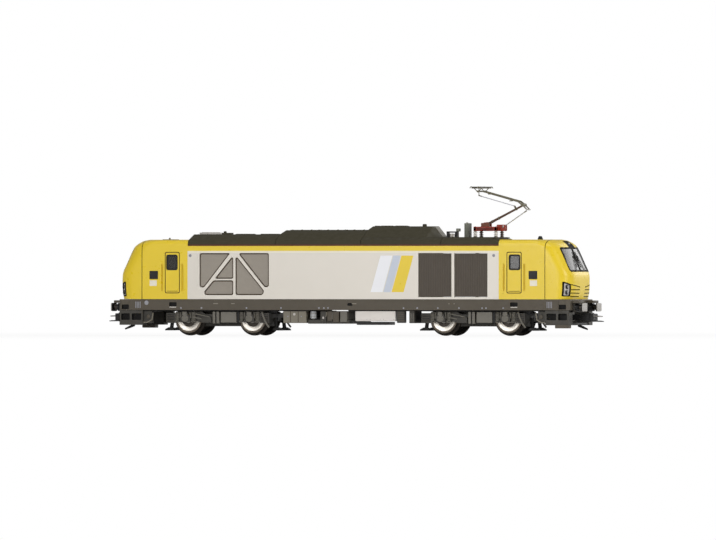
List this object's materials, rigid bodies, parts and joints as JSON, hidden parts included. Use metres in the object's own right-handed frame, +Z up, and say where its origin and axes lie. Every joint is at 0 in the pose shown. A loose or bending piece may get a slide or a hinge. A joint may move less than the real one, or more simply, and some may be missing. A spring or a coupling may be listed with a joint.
{
  "type": "bi-mode locomotive scale model",
  "caption": "Scale model of a dual-mode locomotive with two cabs, four-axle running gear, lattice side grille and a folding pantograph.",
  "frame": {"origin": "centre of the bounding box at the tips of the wheel flanges", "axes": "+X towards end 2, the end with the pantograph; +Y towards the left side; +Z up"},
  "size_m": [0.2408, 0.0346, 0.0687],
  "materials": {
    "yellow_paint": "satin",
    "silver_paint": "satin",
    "dark_grey": "matt",
    "roof_grey": "matt",
    "mesh_grey": "matt",
    "bogie_grey": "matt",
    "black_plastic": "satin",
    "nickel": "polished",
    "tinted_glass": "clear, tinted",
    "tank_grey": "matt",
    "light_grey": "satin",
    "red_oxide": "satin",
    "arm_grey": "satin",
    "cast_metal": "as cast"
  },
  "bodies": {
    "locomotive_body": {"body_shell": "silver_paint", "chassis_frame": "dark_grey", "motor_block": "cast_metal", "roof_radiator_section": "roof_grey", "roof_engine_section": "roof_grey", "roof_exhaust_hood": "roof_grey", "roof_pantograph_deck": "roof_grey", "underfloor_tank": "tank_grey", "air_equipment": "bogie_grey", "air_canister": "light_grey", "battery_box": "light_grey", "battery_tray": "black_plastic", "filter_box": "bogie_grey", "cab_roof_horn": "black_plastic", "main_switch": "light_grey", "transformer_box": "tank_grey", "pantograph_base": "red_oxide", "side_grille_right": "mesh_grey", "louvre_panel_1_right": "dark_grey", "louvre_panel_2_right": "dark_grey", "side_grille_left": "mesh_grey", "louvre_panel_1_left": "dark_grey", "louvre_panel_2_left": "dark_grey", "nose_shell_1": "yellow_paint", "cab_glazing_1": "tinted_glass", "cab_interior_1": "black_plastic", "buffer_beam_1": "dark_grey", "pilot_1": "bogie_grey", "buffer_1_right": "black_plastic", "buffer_1_left": "black_plastic", "nose_shell_2": "yellow_paint", "cab_glazing_2": "tinted_glass", "cab_interior_2": "black_plastic", "buffer_beam_2": "dark_grey", "pilot_2": "bogie_grey", "buffer_2_right": "black_plastic", "buffer_2_left": "black_plastic"},
    "bogie_1": {"bogie_frame_1": "bogie_grey", "bogie_side_1_right": "bogie_grey", "bogie_side_1_left": "bogie_grey"},
    "wheelset_1_1": {"wheelset_1_1": "nickel"},
    "wheelset_1_2": {"wheelset_1_2": "nickel"},
    "coupler_1": {"coupler_1": "black_plastic"},
    "bogie_2": {"bogie_frame_2": "bogie_grey", "bogie_side_2_right": "bogie_grey", "bogie_side_2_left": "bogie_grey"},
    "wheelset_2_1": {"wheelset_2_1": "nickel"},
    "wheelset_2_2": {"wheelset_2_2": "nickel"},
    "coupler_2": {"coupler_2": "black_plastic"},
    "pantograph_lower_arm": {"pantograph_lower_arm": "arm_grey"},
    "pantograph_upper_arm": {"pantograph_upper_arm": "arm_grey"},
    "pantograph_head": {"pantograph_head": "arm_grey"},
    "pantograph_control_rod": {"pantograph_control_rod": "light_grey"},
    "pantograph_levelling_rod": {"pantograph_levelling_rod": "light_grey"}
  },
  "joints": [
    {"name": "bogie_1_turn", "type": "hinge", "parent": "locomotive_body", "child": "bogie_1", "pos_m": [-0.06215, 0, 0.0111], "axis": [0, 0, 1], "range_deg": [-10, 10]},
    {"name": "wheelset_1_1_roll", "type": "hinge", "parent": "bogie_1", "child": "wheelset_1_1", "pos_m": [-0.0778, 0, 0.00742], "axis": [0, 1, 0], "continuous": true},
    {"name": "wheelset_1_2_roll", "type": "hinge", "parent": "bogie_1", "child": "wheelset_1_2", "pos_m": [-0.0465, 0, 0.00742], "axis": [0, 1, 0], "continuous": true},
    {"name": "coupler_1_swing", "type": "hinge", "parent": "locomotive_body", "child": "coupler_1", "pos_m": [-0.1053, 0, 0.0085], "axis": [0, 0, 1], "range_deg": [-15, 15]},
    {"name": "bogie_2_turn", "type": "hinge", "parent": "locomotive_body", "child": "bogie_2", "pos_m": [0.06215, 0, 0.0111], "axis": [0, 0, 1], "range_deg": [-10, 10]},
    {"name": "wheelset_2_1_roll", "type": "hinge", "parent": "bogie_2", "child": "wheelset_2_1", "pos_m": [0.0465, 0, 0.00742], "axis": [0, 1, 0], "continuous": true},
    {"name": "wheelset_2_2_roll", "type": "hinge", "parent": "bogie_2", "child": "wheelset_2_2", "pos_m": [0.0778, 0, 0.00742], "axis": [0, 1, 0], "continuous": true},
    {"name": "coupler_2_swing", "type": "hinge", "parent": "locomotive_body", "child": "coupler_2", "pos_m": [0.1053, 0, 0.0085], "axis": [0, 0, 1], "range_deg": [-15, 15]},
    {"name": "pantograph_raise", "type": "hinge", "parent": "locomotive_body", "child": "pantograph_lower_arm", "pos_m": [0.0642, 0, 0.051], "axis": [0, 1, 0], "range_deg": [-12, 22.5]},
    {"name": "pantograph_knee", "type": "hinge", "parent": "pantograph_lower_arm", "child": "pantograph_upper_arm", "pos_m": [0.0817, 0, 0.0598], "axis": [0, 1, 0], "range_deg": [-36.8, 19.7]},
    {"name": "pantograph_head_level", "type": "hinge", "parent": "pantograph_upper_arm", "child": "pantograph_head", "pos_m": [0.0612, 0, 0.066], "axis": [0, 1, 0], "range_deg": [-7.7, 14.3]},
    {"name": "pantograph_control", "type": "hinge", "parent": "locomotive_body", "child": "pantograph_control_rod", "pos_m": [0.0722, 0, 0.05], "axis": [0, 1, 0], "range_deg": [-16.3, 30.4]},
    {"name": "pantograph_link", "type": "hinge", "parent": "pantograph_lower_arm", "child": "pantograph_levelling_rod", "pos_m": [0.0773, 0, 0.0592], "axis": [0, 1, 0], "range_deg": [-44.5, 24]}
  ],
  "couplings": [
    {"joint": "pantograph_knee", "follows": "pantograph_raise", "ratio": -1.63},
    {"joint": "pantograph_head_level", "follows": "pantograph_raise", "ratio": 0.63},
    {"joint": "pantograph_control", "follows": "pantograph_raise", "ratio": 1.34},
    {"joint": "pantograph_link", "follows": "pantograph_raise", "ratio": -1.95}
  ]
}
